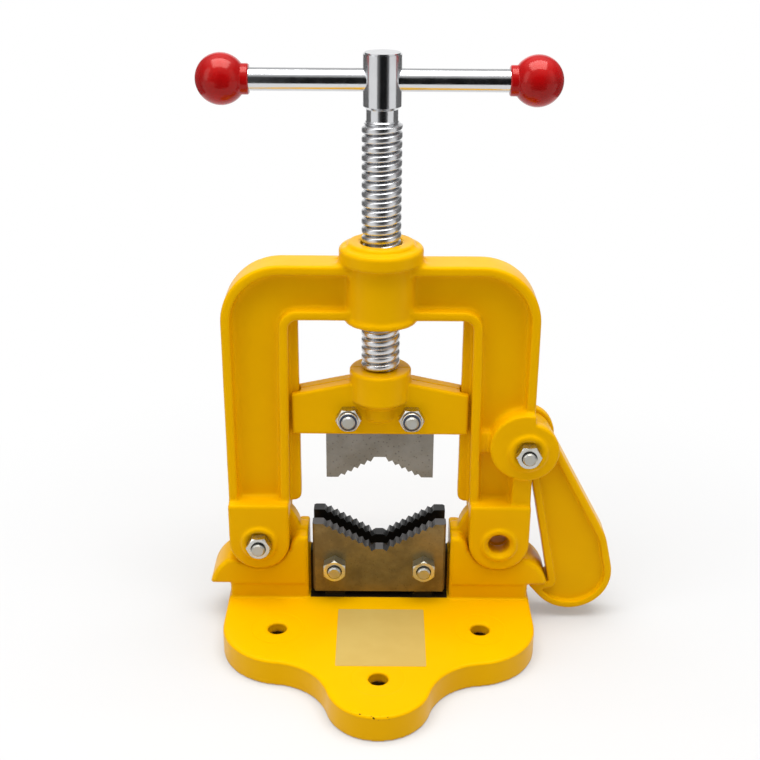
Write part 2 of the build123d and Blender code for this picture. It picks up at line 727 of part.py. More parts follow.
# Screw with its held end, plain thread envelope, neck and cross-drilled head
with BuildPart() as spindle:
    with BuildSketch(Plane.XZ):
        with BuildLine():
            thread_top = pusher_top + thread_length
            head_bottom = screw_top - head_length
            collar_top = pusher_top - groove_length
            Polyline(
                (0, collar_top - collar_length),
                (collar_radius - 1.0, collar_top - collar_length),
                (collar_radius, collar_top - collar_length + 1.0),
                (collar_radius, collar_top),
                (groove_radius, collar_top),
                (groove_radius, pusher_top + moving_clearance),
                (thread_radius, pusher_top + moving_clearance),
                (thread_radius, thread_top - 1.5),
                (upper_neck_radius + 0.6, thread_top),
                (upper_neck_radius, head_bottom),
                (head_radius - head_chamfer, head_bottom),
                (head_radius, head_bottom + head_chamfer),
                (head_radius, screw_top - head_chamfer),
                (head_radius - head_chamfer, screw_top),
                (0, screw_top),
                close=True,
            )
        make_face()
    revolve(axis=Axis.Z)
    with BuildSketch(Plane.YZ):
        with Locations((0, bar_z)):
            Circle(bar_radius + running_clearance)
    extrude(amount=2 * head_radius, both=True, mode=Mode.SUBTRACT)

# T-bar with a stub at each end, and the balls
with BuildPart() as handle_bar:
    shoulder_x = bar_reach - ball_radius + 1.0
    with BuildSketch(Plane.YZ.offset(bar_rest_x)):
        with Locations((0, bar_z)):
            Circle(bar_radius)
    extrude(amount=shoulder_x, both=True)
    with BuildSketch(Plane.YZ.offset(bar_rest_x)):
        with Locations((0, bar_z)):
            Circle(bar_stub_radius)
    extrude(amount=shoulder_x + bar_stub_length, both=True)


def ball_piece(side):
    with BuildPart() as ball:
        with Locations((bar_rest_x + side * bar_reach, 0, bar_z)):
            Sphere(ball_radius)
        with BuildSketch(Plane.YZ.offset(bar_rest_x + side * bar_reach)):
            with Locations((0, bar_z)):
                Circle(ball_collar_radius)
        extrude(amount=-side * (ball_radius + ball_collar_length - 1.0))
        with BuildSketch(Plane.YZ.offset(bar_rest_x)):
            with Locations((0, bar_z)):
                Circle(bar_radius + running_clearance)
        extrude(amount=side * shoulder_x, mode=Mode.SUBTRACT)
        with BuildSketch(Plane.YZ.offset(bar_rest_x)):
            with Locations((0, bar_z)):
                Circle(bar_stub_radius + running_clearance)
        extrude(amount=side * (shoulder_x + bar_stub_length + moving_clearance), mode=Mode.SUBTRACT)
    return ball.part


keep(foot.part, "base_foot")
keep(upright.part, "base_upright")
keep(lower_jaw(-1), "lower_jaw_front")
keep(lower_jaw(1), "lower_jaw_rear")
keep(yoke.part, "yoke_casting")
keep(latch.part, "latch")
keep(pusher_front.part, "pusher_front_half")
keep(pusher_rear.part, "pusher_rear_half")
keep(upper_jaw.part, "upper_jaw")
keep(spindle.part, "spindle")
keep(handle_bar.part, "handle_bar")
keep(ball_piece(-1), "handle_ball_left")
keep(ball_piece(1), "handle_ball_right")

nut_end = nut_height + bolt_end_length
lock_nut_end = lock_nut_height + bolt_end_length - 1.0
keep(bolt_piece(-hinge_x, hinge_z, ear_half_depth, ear_half_depth, nut_end), "pivot_bolt")
keep(nut_piece(-hinge_x, hinge_z, ear_half_depth, nut_height, 0.0), "pivot_nut")
keep(bolt_piece(latch_x, latch_z, clevis_depth / 2, clevis_depth / 2, nut_end), "latch_bolt")
keep(nut_piece(latch_x, latch_z, clevis_depth / 2, nut_height, 0.0), "latch_nut")
for side, word in ((-1, "left"), (1, "right")):
    keep(bolt_piece(side * lower_bolt_x, lower_bolt_z, jaw_outer_y, jaw_outer_y, nut_end),
         f"lower_jaw_bolt_{word}")
    keep(nut_piece(side * lower_bolt_x, lower_bolt_z, jaw_outer_y, nut_height, 30.0), f"lower_jaw_nut_{word}")
    keep(bolt_piece(side * pusher_bolt_x, pusher_bolt_z, pusher_depth / 2, pusher_depth / 2, lock_nut_end),
         f"pusher_bolt_{word}")
    keep(nut_piece(side * pusher_bolt_x, pusher_bolt_z, pusher_depth / 2, lock_nut_height, 0.0, collar=True),
         f"pusher_nut_{word}")
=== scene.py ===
import bpy
import math
import numpy as np
from mathutils import Matrix, Vector
from mathutils.bvhtree import BVHTree


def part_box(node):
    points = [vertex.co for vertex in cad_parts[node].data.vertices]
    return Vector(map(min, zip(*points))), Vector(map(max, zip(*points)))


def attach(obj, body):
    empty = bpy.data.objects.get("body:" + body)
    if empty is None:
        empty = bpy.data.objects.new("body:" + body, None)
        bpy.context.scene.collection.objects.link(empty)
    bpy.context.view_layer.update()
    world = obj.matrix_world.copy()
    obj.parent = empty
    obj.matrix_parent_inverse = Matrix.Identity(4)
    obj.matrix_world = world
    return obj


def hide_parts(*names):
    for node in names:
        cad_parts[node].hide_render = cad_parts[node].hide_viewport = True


# Pipe vise: soft cast skins over the CAD castings, a real screw thread, and the finishes.
# Lengths are metres unless a name says Mm.

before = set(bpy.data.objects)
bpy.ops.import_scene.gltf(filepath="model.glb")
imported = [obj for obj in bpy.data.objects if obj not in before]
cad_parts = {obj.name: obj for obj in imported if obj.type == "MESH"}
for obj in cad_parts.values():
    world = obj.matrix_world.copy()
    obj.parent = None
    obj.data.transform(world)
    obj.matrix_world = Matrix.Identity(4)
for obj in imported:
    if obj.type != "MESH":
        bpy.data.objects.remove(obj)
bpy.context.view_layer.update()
print("vise: frame loaded with", len(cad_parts), "nodes")


def linearColour(red, green, blue):
    # colour as seen on a screen, 0 to 255, turned into Blender's linear values by the screen's own curve
    seen = np.array([red, green, blue]) / 255.0
    linear = np.where(seen <= 0.04045, seen / 12.92, ((seen + 0.055) / 1.055) ** 2.4)
    return (*[float(v) for v in linear], 1.0)


def scaledColour(colour, share):
    # the same colour with red, green and blue times the share
    return (*[v * share for v in colour[:3]], 1.0)


# Mesh tools


def makeObject(name, points, faces, smooth=True):
    # a mesh object at the origin, from an array of points and the faces that join them
    mesh = bpy.data.meshes.new(name)
    mesh.from_pydata(points.tolist(), [], faces.tolist() if isinstance(faces, np.ndarray) else faces)
    mesh.update()
    if smooth:
        mesh.polygons.foreach_set("use_smooth", np.ones(len(mesh.polygons), bool))
    piece = bpy.data.objects.new(name, mesh)
    bpy.context.scene.collection.objects.link(piece)
    return piece


def readPoints(mesh):
    # the mesh's points, a row of x, y, z for each
    co = np.empty(len(mesh.vertices) * 3, np.float32)
    mesh.vertices.foreach_get("co", co)
    return co.reshape(-1, 3).astype(float)


def readNormals(mesh):
    # the mesh's outward direction at each point
    normals = np.empty(len(mesh.vertices) * 3, np.float32)
    mesh.vertex_normals.foreach_get("vector", normals)
    return normals.reshape(-1, 3)


def writePoints(mesh, points):
    # puts the rows of x, y, z back into the mesh
    mesh.vertices.foreach_set("co", points.astype(np.float32).ravel())
    mesh.update()


def gridFaces(rows, columns, closed=False):
    # each face joins row i to row i + 1 and column j to the next one round, wrapping at the seam; where it is
    # closed, the last row joins the first as well
    i, j = np.meshgrid(np.arange(rows if closed else rows - 1), np.arange(columns), indexing="ij")
    nextI, nextJ = (i + 1) % rows, (j + 1) % columns
    quads = np.stack([i * columns + j, i * columns + nextJ, nextI * columns + nextJ, nextI * columns + j], -1)
    return quads.reshape(-1, 4)


def turnedPoints(heights, radii, columns):
    # a point at height z and angle a is (r(z, a) cos a, r(z, a) sin a, z); radii may vary along both
    angle = np.linspace(0.0, 2.0 * np.pi, columns, endpoint=False)
    radii = np.broadcast_to(radii if radii.ndim == 2 else radii[:, None], (len(heights), columns))
    x = radii * np.cos(angle)
    y = radii * np.sin(angle)
    z = np.broadcast_to(heights[:, None], x.shape)
    return np.stack([x, y, z], -1).reshape(-1, 3)


def turnedPiece(name, profileMm, columns, centre):
    # surface of revolution about the X axis, of a closed profile of (x, radius) pairs; both ends lie on the axis
    profile = np.array(profileMm) / 1000.0
    points = turnedPoints(profile[1:-1, 0], profile[1:-1, 1], columns)
    poles = np.array([[0.0, 0.0, profile[0, 0]], [0.0, 0.0, profile[-1, 0]]])
    rows = len(profile) - 2
    low, high, last = rows * columns, rows * columns + 1, (rows - 1) * columns
    ring = np.arange(columns)
    after = (ring + 1) % columns
    faces = gridFaces(rows, columns).tolist()
    faces += np.stack([np.full(columns, low), after, ring], -1).tolist()
    faces += np.stack([np.full(columns, high), last + ring, last + after], -1).tolist()
    points = np.concatenate([points, poles])[:, [2, 0, 1]]
    return makeObject(name, points + np.array(centre), faces)


def readMerged(nodeName, spotsPerMetre=1e6):
    # points and triangles of a CAD node, whose mesh is loose triangles: points on one spot, a micron wide, are
    # made one, and triangles that shrink to a line or a point are left out
    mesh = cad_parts[nodeName].data
    co = readPoints(mesh)
    mesh.calc_loop_triangles()
    triangles = np.empty(len(mesh.loop_triangles) * 3, np.int32)
    mesh.loop_triangles.foreach_get("vertices", triangles)
    spots = np.round(co * spotsPerMetre).astype(np.int64)
    first, inverse = np.unique(spots, axis=0, return_index=True, return_inverse=True)[1:]
    a, b, c = inverse.reshape(-1)[triangles].reshape(-1, 3).T
    whole = (a != b) & (b != c) & (a != c)
    return co[first], np.stack([a, b, c], -1)[whole]


# Castings: their shape


def relaxed(points, edges, rounds, strength):
    # every round moves each point part of the way to the mean of its neighbours
    a, b = edges[:, 0], edges[:, 1]
    count = np.bincount(a, minlength=len(points)) + np.bincount(b, minlength=len(points))
    for turn in range(rounds):
        total = np.empty_like(points)
        for k in range(3):
            total[:, k] = np.bincount(a, points[b, k], len(points)) + np.bincount(b, points[a, k], len(points))
        points = points + strength * (total / count[:, None] - points)
    return points


def castWaves(points, values):
    # sum of a few slanted sine waves, about -1 to 1, each with its own direction, length and starting turn
    rng = np.random.default_rng(values["waveSeed"])
    size = values["waveMm"] / 1000.0
    value = np.zeros(len(points))
    for wave in range(values["waveCount"]):
        direction = rng.normal(size=3)
        direction /= np.linalg.norm(direction)
        turn = rng.uniform(0, 2 * np.pi)
        value += np.sin(points @ direction * 2 * np.pi / (size * rng.uniform(*values["waveSpread"])) + turn)
    return value / values["waveScale"]


def hollowShare(mm, values):
    # 1 inside the I section's pockets, 0 on its outer faces and within the named (x, z, radius) of a bolt
    depth = np.abs(mm[:, 1])
    share = np.clip((depth - values["webMm"]) / values["webFadeMm"], 0.0, 1.0)
    share = share * np.clip((values["pocketRimMm"] - depth) / values["rimFadeMm"], 0.0, 1.0)
    inside = np.maximum(np.abs(mm[:, 0]) - values["pocketFromX"], mm[:, 2] - values["pocketFromZ"])
    share = share * np.clip(inside / values["pocketFadeMm"], 0.0, 1.0)
    for x, z, radius in values["crispRound"]:
        away = np.hypot(mm[:, 0] - x, mm[:, 2] - z)
        share = share * np.clip((away - radius) / values["crispFadeMm"], 0.0, 1.0)
    return share


def gridCopy(name, points, triangles, gridMm):
    # a piece of even faces, made by reading the closed shell on a grid of that size
    piece = makeObject(name, points, triangles)
    remesh = piece.modifiers.new("castGrid", "REMESH")
    remesh.mode = "VOXEL"
    remesh.voxel_size = gridMm / 1000.0
    remesh.adaptivity = 0.0
    remesh.use_smooth_shade = True
    graph = bpy.context.evaluated_depsgraph_get()
    dense = bpy.data.meshes.new_from_object(piece.evaluated_get(graph))
    piece.modifiers.clear()
    rough = piece.data
    piece.data = dense
    bpy.data.meshes.remove(rough)
    dense.name = name
    return piece


def castSkin(name, values):
    # copy of the CAD casting on a fine grid, with every edge and inner corner as soft as sand leaves it
    shells = [readMerged(nodeName) for nodeName in values["nodes"]]
    starts = np.cumsum([0] + [len(shell) for shell, triangles in shells[:-1]])
    points = np.concatenate([shell for shell, triangles in shells])
    triangles = np.concatenate([triangles + start for start, (shell, triangles) in zip(starts, shells)])
    piece = gridCopy(name, points, triangles, values["gridMm"])
    dense = piece.data
    co = readPoints(dense)
    edges = np.empty(len(dense.edges) * 2, np.int32)
    dense.edges.foreach_get("vertices", edges)
    edges = edges.reshape(-1, 2)
    # the grid's steps are smoothed away, then the points go back towards the casting's own faces, so that flats
    # and raised rings stay true and only the edges end up soft
    surface = BVHTree.FromPolygons(points.tolist(), triangles.tolist())
    co = relaxed(co, edges, values["rounds"], values["strength"])
    for turn in range(values["returns"]):
        near = np.array([surface.find_nearest(Vector(point))[0] for point in co])
        co = relaxed(co + values["pull"] * (near - co), edges, values["softRounds"], values["strength"])
    # wide hollows between web and flanges: a point only moves outwards, so the rims keep their edge
    share = hollowShare(co * 1000.0, values)
    for turn in range(values["hollowRounds"]):
        writePoints(dense, co)
        outward = readNormals(dense)
        gain = ((relaxed(co, edges, 1, values["strength"]) - co) * outward).sum(1)
        co = co + (share * np.maximum(gain, 0.0))[:, None] * outward
    # a faint wave along the normals, and nothing outside the CAD nodes' box
    writePoints(dense, co)
    wave = castWaves(co, values) * values["waveDepthMm"] / 1000.0
    co = co + readNormals(dense) * wave[:, None]
    corners = [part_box(nodeName) for nodeName in values["nodes"]]
    low = np.min([np.array(low) for low, high in corners], 0)
    high = np.max([np.array(high) for low, high in corners], 0)
    dense.polygons.foreach_set("use_smooth", np.ones(len(dense.polygons), bool))
    writePoints(dense, np.clip(co, low, high))
    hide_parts(*values["nodes"])
    print("vise: skin", name, len(dense.polygons), "faces")
    return piece


# Materials: their tools


def feed(tree, socket, value):
    # a plain number or colour is set on the socket, and another node's output is linked to it
    if isinstance(value, (int, float, tuple)):
        socket.default_value = value
    else:
        tree.links.new(value, socket)


def newGroup(name, inputs, outputs):
    # a node group with named inputs (label, kind, default) and outputs (label, kind), still empty
    group = bpy.data.node_groups.new(name, "ShaderNodeTree")
    for label, kind, default in inputs:
        socket = group.interface.new_socket(name=label, in_out="INPUT", socket_type=kind)
        socket.default_value = default
    for label, kind in outputs:
        group.interface.new_socket(name=label, in_out="OUTPUT", socket_type=kind)
    entry = group.nodes.new("NodeGroupInput")
    leave = group.nodes.new("NodeGroupOutput")
    return group, entry, leave


def addMath(tree, operation, first, second=None, third=None, clamp=False):
    # one sum, product or other operation on numbers or on other nodes' outputs
    node = tree.nodes.new("ShaderNodeMath")
    node.operation = operation
    node.use_clamp = clamp
    for index, value in enumerate((first, second, third)):
        if value is not None:
            feed(tree, node.inputs[index], value)
    return node.outputs[0]


def addProduct(tree, first, *others):
    # all the values multiplied, from the first on
    for value in others:
        first = addMath(tree, "MULTIPLY", first, value)
    return first


def addNoise(tree, vector, scale, detail, roughness=0.5):
    # a cloudy pattern about 0.5; a larger scale makes it finer
    node = tree.nodes.new("ShaderNodeTexNoise")
    node.inputs["Scale"].default_value = scale
    node.inputs["Detail"].default_value = detail
    node.inputs["Roughness"].default_value = roughness
    tree.links.new(vector, node.inputs["Vector"])
    return node.outputs["Fac"]


def addRange(tree, value, low, high, toLow=0.0, toHigh=1.0):
    # a soft step from toLow, where the value is low, to toHigh, where it is high
    node = tree.nodes.new("ShaderNodeMapRange")
    node.interpolation_type = "SMOOTHSTEP"
    node.inputs["From Min"].default_value = low
    node.inputs["From Max"].default_value = high
    node.inputs["To Min"].default_value = toLow
    node.inputs["To Max"].default_value = toHigh
    tree.links.new(value, node.inputs["Value"])
    return node.outputs["Result"]


def addMix(tree, factor, first, second):
    # the first colour where the factor is 0, the second where it is 1
    node = tree.nodes.new("ShaderNodeMix")
    node.data_type = "RGBA"
    feed(tree, node.inputs["Factor"], factor)
    for label, value in (("A", first), ("B", second)):
        feed(tree, [s for s in node.inputs if s.name == label and s.type == "RGBA"][0], value)
    return [s for s in node.outputs if s.type == "RGBA"][0]


def splitAxes(tree, vector):
    # the X, Y and Z of a vector
    node = tree.nodes.new("ShaderNodeSeparateXYZ")
    tree.links.new(vector, node.inputs[0])
    return node.outputs


def distanceTo(tree, axes, centre):
    # distance in the x y plane from a point given in metres: the root of dx squared plus dy squared
    dx = addMath(tree, "SUBTRACT", axes["X"], centre[0])
    dy = addMath(tree, "SUBTRACT", axes["Y"], centre[1])
    return addMath(tree, "SQRT", addMath(tree, "MULTIPLY_ADD", dx, dx, addMath(tree, "MULTIPLY", dy, dy)))


def startMaterial(name):
    # a new material, its nodes, its shader and the object coordinates that its patterns read
    material = bpy.data.materials.new(name)
    material.use_nodes = True
    tree = material.node_tree
    shader = tree.nodes["Principled BSDF"]
    place = tree.nodes.new("ShaderNodeTexCoord").outputs["Object"]
    return material, tree, shader, place


def placeGroup(tree, group, place, **settings):
    # one of the shared node groups, with this material's own values
    node = tree.nodes.new("ShaderNodeGroup")
    node.node_tree = group
    tree.links.new(place, node.inputs["Vector"])
    for key, value in settings.items():
        node.inputs[key].default_value = value
    return node


def addGloss(tree, shader, pattern, span, limits):
    # roughness that goes from one limit to the other as the pattern crosses its span
    tree.links.new(addRange(tree, pattern, *span, *limits), shader.inputs["Roughness"])


def addBump(tree, shader, height, strength, distance):
    # the height pattern felt as slopes in the shading
    bump = tree.nodes.new("ShaderNodeBump")
    bump.inputs["Strength"].default_value = strength
    bump.inputs["Distance"].default_value = distance
    tree.links.new(height, bump.inputs["Height"])
    tree.links.new(bump.outputs["Normal"], shader.inputs["Normal"])


def makeCastGrain():
    # uneven paint over sand-cast iron: broad mottling, lumps a few mm wide and fine orange peel
    peelShare = 0.22
    group, entry, leave = newGroup(
        "castGrain",
        [("Vector", "NodeSocketVector", (0, 0, 0)), ("Lump Scale", "NodeSocketFloat", 160.0),
         ("Peel Scale", "NodeSocketFloat", 900.0), ("Mottle Scale", "NodeSocketFloat", 28.0)],
        [("Height", "NodeSocketFloat"), ("Mottle", "NodeSocketFloat")])
    noises = []
    for label, detail in (("Lump Scale", 2.0), ("Peel Scale", 1.0), ("Mottle Scale", 4.0)):
        node = group.nodes.new("ShaderNodeTexNoise")
        node.inputs["Detail"].default_value = detail
        group.links.new(entry.outputs["Vector"], node.inputs["Vector"])
        group.links.new(entry.outputs[label], node.inputs["Scale"])
        noises.append(node.outputs["Fac"])
    lumps, peel, mottle = noises
    group.links.new(addMath(group, "MULTIPLY_ADD", peel, peelShare, lumps), leave.inputs["Height"])
    group.links.new(mottle, leave.inputs["Mottle"])
    return group


def makePitting():
    # sparse round pits and blotches, as on scaled or etched steel: a pit is where the distance from a cell's
    # middle stays under its reach
    cloudShare, cloudDetail, cloudRoughness, pitReach, pitSlope = 0.35, 6.0, 0.65, 0.6, 4.0
    group, entry, leave = newGroup(
        "pitting",
        [("Vector", "NodeSocketVector", (0, 0, 0)), ("Scale", "NodeSocketFloat", 500.0),
         ("Amount", "NodeSocketFloat", 0.5)],
        [("Height", "NodeSocketFloat"), ("Mask", "NodeSocketFloat")])
    cells = group.nodes.new("ShaderNodeTexVoronoi")
    group.links.new(entry.outputs["Vector"], cells.inputs["Vector"])
    group.links.new(entry.outputs["Scale"], cells.inputs["Scale"])
    cloud = group.nodes.new("ShaderNodeTexNoise")
    cloud.inputs["Detail"].default_value = cloudDetail
    cloud.inputs["Roughness"].default_value = cloudRoughness
    group.links.new(entry.outputs["Vector"], cloud.inputs["Vector"])
    group.links.new(addMath(group, "MULTIPLY", entry.outputs["Scale"], cloudShare), cloud.inputs["Scale"])
    reach = addMath(group, "MULTIPLY", entry.outputs["Amount"], pitReach)
    pit = addMath(group, "SUBTRACT", reach, cells.outputs["Distance"])
    pit = addMath(group, "MULTIPLY", pit, pitSlope, clamp=True)
    group.links.new(addMath(group, "SUBTRACT", cloud.outputs["Fac"], pit), leave.inputs["Height"])
    group.links.new(addMath(group, "MULTIPLY", pit, cloud.outputs["Fac"]), leave.inputs["Mask"])
    return group


castGrain = makeCastGrain()
pitting = makePitting()


# Materials. A noise is (scale, detail, roughness), a span is the part of a pattern that is spread from 0 to 1,
# and a bump is (strength, distance).

yellowPaint = {
    "face": linearColour(230, 173, 0),
    "deep": linearColour(227, 169, 0),
    "mottleSpan": (0.35, 0.65),
    "sheen": (1.0, 0.70, 0.05, 1.0),
    "shine": 0.16,
    "roughness": (0.28, 0.36),
    "glossSpan": (0.3, 0.7),
    "bump": (0.16, 0.0004),
}
jawFace = -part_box("lower_jaw_front")[0][1]
# on the foot: a shallow machined ring round each bench hole, chips on the lobe's upper edge, and painted shade, a dark
# brown on the web between the jaw plates and on the seats and foot under them, where their shadow falls
footMarksAndShade = {
    "holes": ((-0.060, -0.045), (0.060, -0.045), (0.0, -0.092)),
    "ringRadius": 0.0152, "ringEdge": 0.0005, "ringHeight": 2.0,
    "topSpan": (0.0140, 0.0150),
    "lobeCentre": (0.0, -0.0957), "lobeEdge": 0.0288, "lobeSpan": (0.0010, 0.0004),
    "chipsLeft": 0.005, "chipsSpan": (0.013, 0.009), "chipsFrontSpan": (-0.118, -0.120),
    "chipsNoise": (430.0, 2.0), "chipsNoiseSpan": (0.62, 0.65), "chip": linearColour(46, 34, 18),
    "jawShadeColour": linearColour(42, 35, 26), "jawShadeSideSpan": (0.0424, 0.0418),
    "jawShadeDepthSpan": (jawFace + 0.0002, jawFace - 0.0006), "jawShadeFloorSpan": (0.0152, 0.0157),
}


def makeYellowPaint(name, values, marks=None):
    # paint on cast iron, with the foot's marks and its painted shade under the jaw plates where they are given
    material, tree, shader, place = startMaterial(name)
    grain = placeGroup(tree, castGrain, place)
    mottle = addRange(tree, grain.outputs["Mottle"], *values["mottleSpan"])
    colour = addMix(tree, mottle, values["face"], values["deep"])
    height = grain.outputs["Height"]
    if marks:
        axes = splitAxes(tree, place)
        upper = addRange(tree, axes["Z"], *marks["topSpan"])
        lobe = addMath(tree, "SUBTRACT", distanceTo(tree, axes, marks["lobeCentre"]), marks["lobeEdge"])
        rim = addRange(tree, addMath(tree, "ABSOLUTE", lobe), *marks["lobeSpan"])
        middle = addMath(tree, "ABSOLUTE", addMath(tree, "ADD", axes["X"], marks["chipsLeft"]))
        front = addProduct(tree, addRange(tree, middle, *marks["chipsSpan"]), upper,
                           addRange(tree, axes["Y"], *marks["chipsFrontSpan"]))
        spots = addRange(tree, addNoise(tree, place, *marks["chipsNoise"]), *marks["chipsNoiseSpan"])
        colour = addMix(tree, addProduct(tree, rim, front, spots), colour, marks["chip"])
        # painted shade: the web between the jaw plates, and the seats and the foot below them, take the dark brown of
        # the shadow there
        jawShadeMask = addProduct(tree, addRange(tree, addMath(tree, "ABSOLUTE", axes["X"]), *marks["jawShadeSideSpan"]),
                          addRange(tree, addMath(tree, "ABSOLUTE", axes["Y"]), *marks["jawShadeDepthSpan"]),
                          addRange(tree, axes["Z"], *marks["jawShadeFloorSpan"]))
        colour = addMix(tree, jawShadeMask, colour, marks["jawShadeColour"])
        for hole in marks["holes"]:
            ring = addRange(tree, distanceTo(tree, axes, hole), marks["ringRadius"] - marks["ringEdge"],
                            marks["ringRadius"] + marks["ringEdge"])
            height = addMath(tree, "MULTIPLY_ADD", addProduct(tree, ring, upper), marks["ringHeight"], height)
    tree.links.new(colour, shader.inputs["Base Color"])
    addGloss(tree, shader, grain.outputs["Mottle"], values["glossSpan"], values["roughness"])
    shader.inputs["Specular IOR Level"].default_value = values["shine"]
    shader.inputs["Specular Tint"].default_value = values["sheen"]
    addBump(tree, shader, height, *values["bump"])
    return material


brightSteel = {
    "colour": linearColour(212, 213, 215),
    "cloudNoise": (140.0, 3.0),
    "cloudSpan": (0.3, 0.7),
    "roughness": (0.13, 0.20),
    "satin": 0.12,
    "satinFade": 0.001,
    "marks": {"X": (3200.0, 60.0, 60.0), "Z": (60.0, 60.0, 3200.0)},
    "marksNoise": (1.0, 2.0),
    "bump": (0.012, 0.0001),
}


def makeBrightSteel(name, values, along, satinBelow=None):
    # plated steel: fine turning marks across the axis, and slow clouds in the gloss; the thread is satin
    material, tree, shader, place = startMaterial(name)
    stretch = tree.nodes.new("ShaderNodeMapping")
    stretch.inputs["Scale"].default_value = values["marks"][along]
    tree.links.new(place, stretch.inputs["Vector"])
    rough = addRange(tree, addNoise(tree, place, *values["cloudNoise"]), *values["cloudSpan"], *values["roughness"])
    if satinBelow is not None:
        satin = addRange(tree, splitAxes(tree, place)["Z"], satinBelow, satinBelow - values["satinFade"])
        rough = addMath(tree, "MULTIPLY_ADD", satin, values["satin"], rough)
    tree.links.new(rough, shader.inputs["Roughness"])
    shader.inputs["Base Color"].default_value = values["colour"]
    shader.inputs["Metallic"].default_value = 1.0
    addBump(tree, shader, addNoise(tree, stretch.outputs[0], *values["marksNoise"]), *values["bump"])
    return material


zincPlate = {
    "colour": linearColour(196, 196, 192),
    "warm": linearColour(196, 186, 146),
    "warmth": 0.2,
    "boreShade": linearColour(46, 44, 40),
    "boreShadeSpan": (0.0047, 0.0044),
    "cloudNoise": (240.0, 4.0, 0.6),
    "warmSpan": (0.35, 0.65),
    "glossSpan": (0.3, 0.7),
    "roughness": (0.18, 0.34),
    "grainNoise": (1400.0, 2.0),
    "bump": (0.12, 0.0002),
}
boltPlate = {**zincPlate, "colour": linearColour(176, 176, 172), "roughness": (0.28, 0.42)}
jawNutPlate = {**zincPlate, "colour": linearColour(212, 212, 206), "roughness": (0.30, 0.46), "warmth": 0.7}


def makeZincPlate(name, values, axis=None):
    # zinc with slow yellowish clouds; a nut gets painted shade, a dark ring round the axis (x, z) where its
    # countersunk bore and thread would lie in shadow
    material, tree, shader, place = startMaterial(name)
    clouds = addNoise(tree, place, *values["cloudNoise"])
    tint = addRange(tree, clouds, *values["warmSpan"], 0.0, values["warmth"])
    colour = addMix(tree, tint, values["colour"], values["warm"])
    if axis:
        # turned so that x and y lie across the bore
        turned = tree.nodes.new("ShaderNodeMapping")
        turned.inputs["Rotation"].default_value = (math.radians(90.0), 0.0, 0.0)
        tree.links.new(place, turned.inputs["Vector"])
        away = distanceTo(tree, splitAxes(tree, turned.outputs[0]), (axis[0], -axis[1]))
        colour = addMix(tree, addRange(tree, away, *values["boreShadeSpan"]), colour, values["boreShade"])
    tree.links.new(colour, shader.inputs["Base Color"])
    addGloss(tree, shader, clouds, values["glossSpan"], values["roughness"])
    shader.inputs["Metallic"].default_value = 1.0
    addBump(tree, shader, addNoise(tree, place, *values["grainNoise"]), *values["bump"])
    return material


jawSteel = {
    "grey": linearColour(136, 133, 126),
    "dark": linearColour(126, 123, 116),
    "pit": linearColour(52, 50, 48),
    "pitScale": 420.0,
    "pitAmount": 0.45,
    "cloudNoise": (70.0, 6.0, 0.65),
    "cloudSpan": (0.35, 0.68),
    "roughness": (0.34, 0.44),
    "metal": 0.75,
    "bump": (0.3, 0.0003),
}


def makeJawSteel(name, values):
    # ground steel, clouded and pitted
    material, tree, shader, place = startMaterial(name)
    pits = placeGroup(tree, pitting, place, Scale=values["pitScale"], Amount=values["pitAmount"])
    clouds = addRange(tree, addNoise(tree, place, *values["cloudNoise"]), *values["cloudSpan"])
    colour = addMix(tree, clouds, values["grey"], values["dark"])
    colour = addMix(tree, pits.outputs["Mask"], colour, values["pit"])
    tree.links.new(colour, shader.inputs["Base Color"])
    addGloss(tree, shader, clouds, (0.0, 1.0), values["roughness"])
    shader.inputs["Metallic"].default_value = values["metal"]
    addBump(tree, shader, pits.outputs["Height"], *values["bump"])
    return material


scaledJaw = {
    "scale": linearColour(132, 116, 78),
    "scaleDark": linearColour(106, 92, 58),
    "tooth": linearColour(106, 104, 103),
    "toothSpan": (0.7, 0.3),
    "pit": linearColour(38, 32, 24),
    "pitScale": 380.0,
    "pitAmount": 0.35,
    "cloudNoise": (55.0, 7.0, 0.7),
    "cloudSpan": (0.32, 0.66),
    "roughness": (0.28, 0.42),
    "metal": (0.65, 0.8),
    "bump": (0.3, 0.0003),
}
# painted shade: the rear plate is the same part as the front one, its scale and teeth coloured darker for the slot's
# shadow on it
shadedRearJaw = {**scaledJaw, "scale": linearColour(44, 40, 34), "scaleDark": linearColour(26, 24, 22),
           "tooth": linearColour(58, 58, 58)}


def makeScaledJaw(name, values):
    # heat-treated jaw: brown scale on the flats, bare grey steel on the cut teeth, which face up or sideways
    material, tree, shader, place = startMaterial(name)
    pits = placeGroup(tree, pitting, place, Scale=values["pitScale"], Amount=values["pitAmount"])
    clouds = addRange(tree, addNoise(tree, place, *values["cloudNoise"]), *values["cloudSpan"])
    scale = addMix(tree, clouds, values["scale"], values["scaleDark"])
    normal = tree.nodes.new("ShaderNodeNewGeometry").outputs["Normal"]
    flat = addMath(tree, "ABSOLUTE", splitAxes(tree, normal)["Y"])
    cut = addRange(tree, flat, *values["toothSpan"])
    colour = addMix(tree, cut, scale, values["tooth"])
    colour = addMix(tree, pits.outputs["Mask"], colour, values["pit"])
    tree.links.new(colour, shader.inputs["Base Color"])
    addGloss(tree, shader, clouds, (0.0, 1.0), values["roughness"])
    tree.links.new(addRange(tree, cut, 0.0, 1.0, *values["metal"]), shader.inputs["Metallic"])
    addBump(tree, shader, pits.outputs["Height"], *values["bump"])
    return material


knobPlastic = {
    "colour": linearColour(168, 10, 12),
    "darker": 0.82,
    "sheen": (1.0, 0.45, 0.4, 1.0),
    "cloudNoise": (90.0, 3.0),
    "cloudSpan": (0.35, 0.65),
    "glossSpan": (0.3, 0.7),
    "roughness": (0.13, 0.20),
    "grainNoise": (700.0, 2.0),
    "bump": (0.05, 0.0002),
}


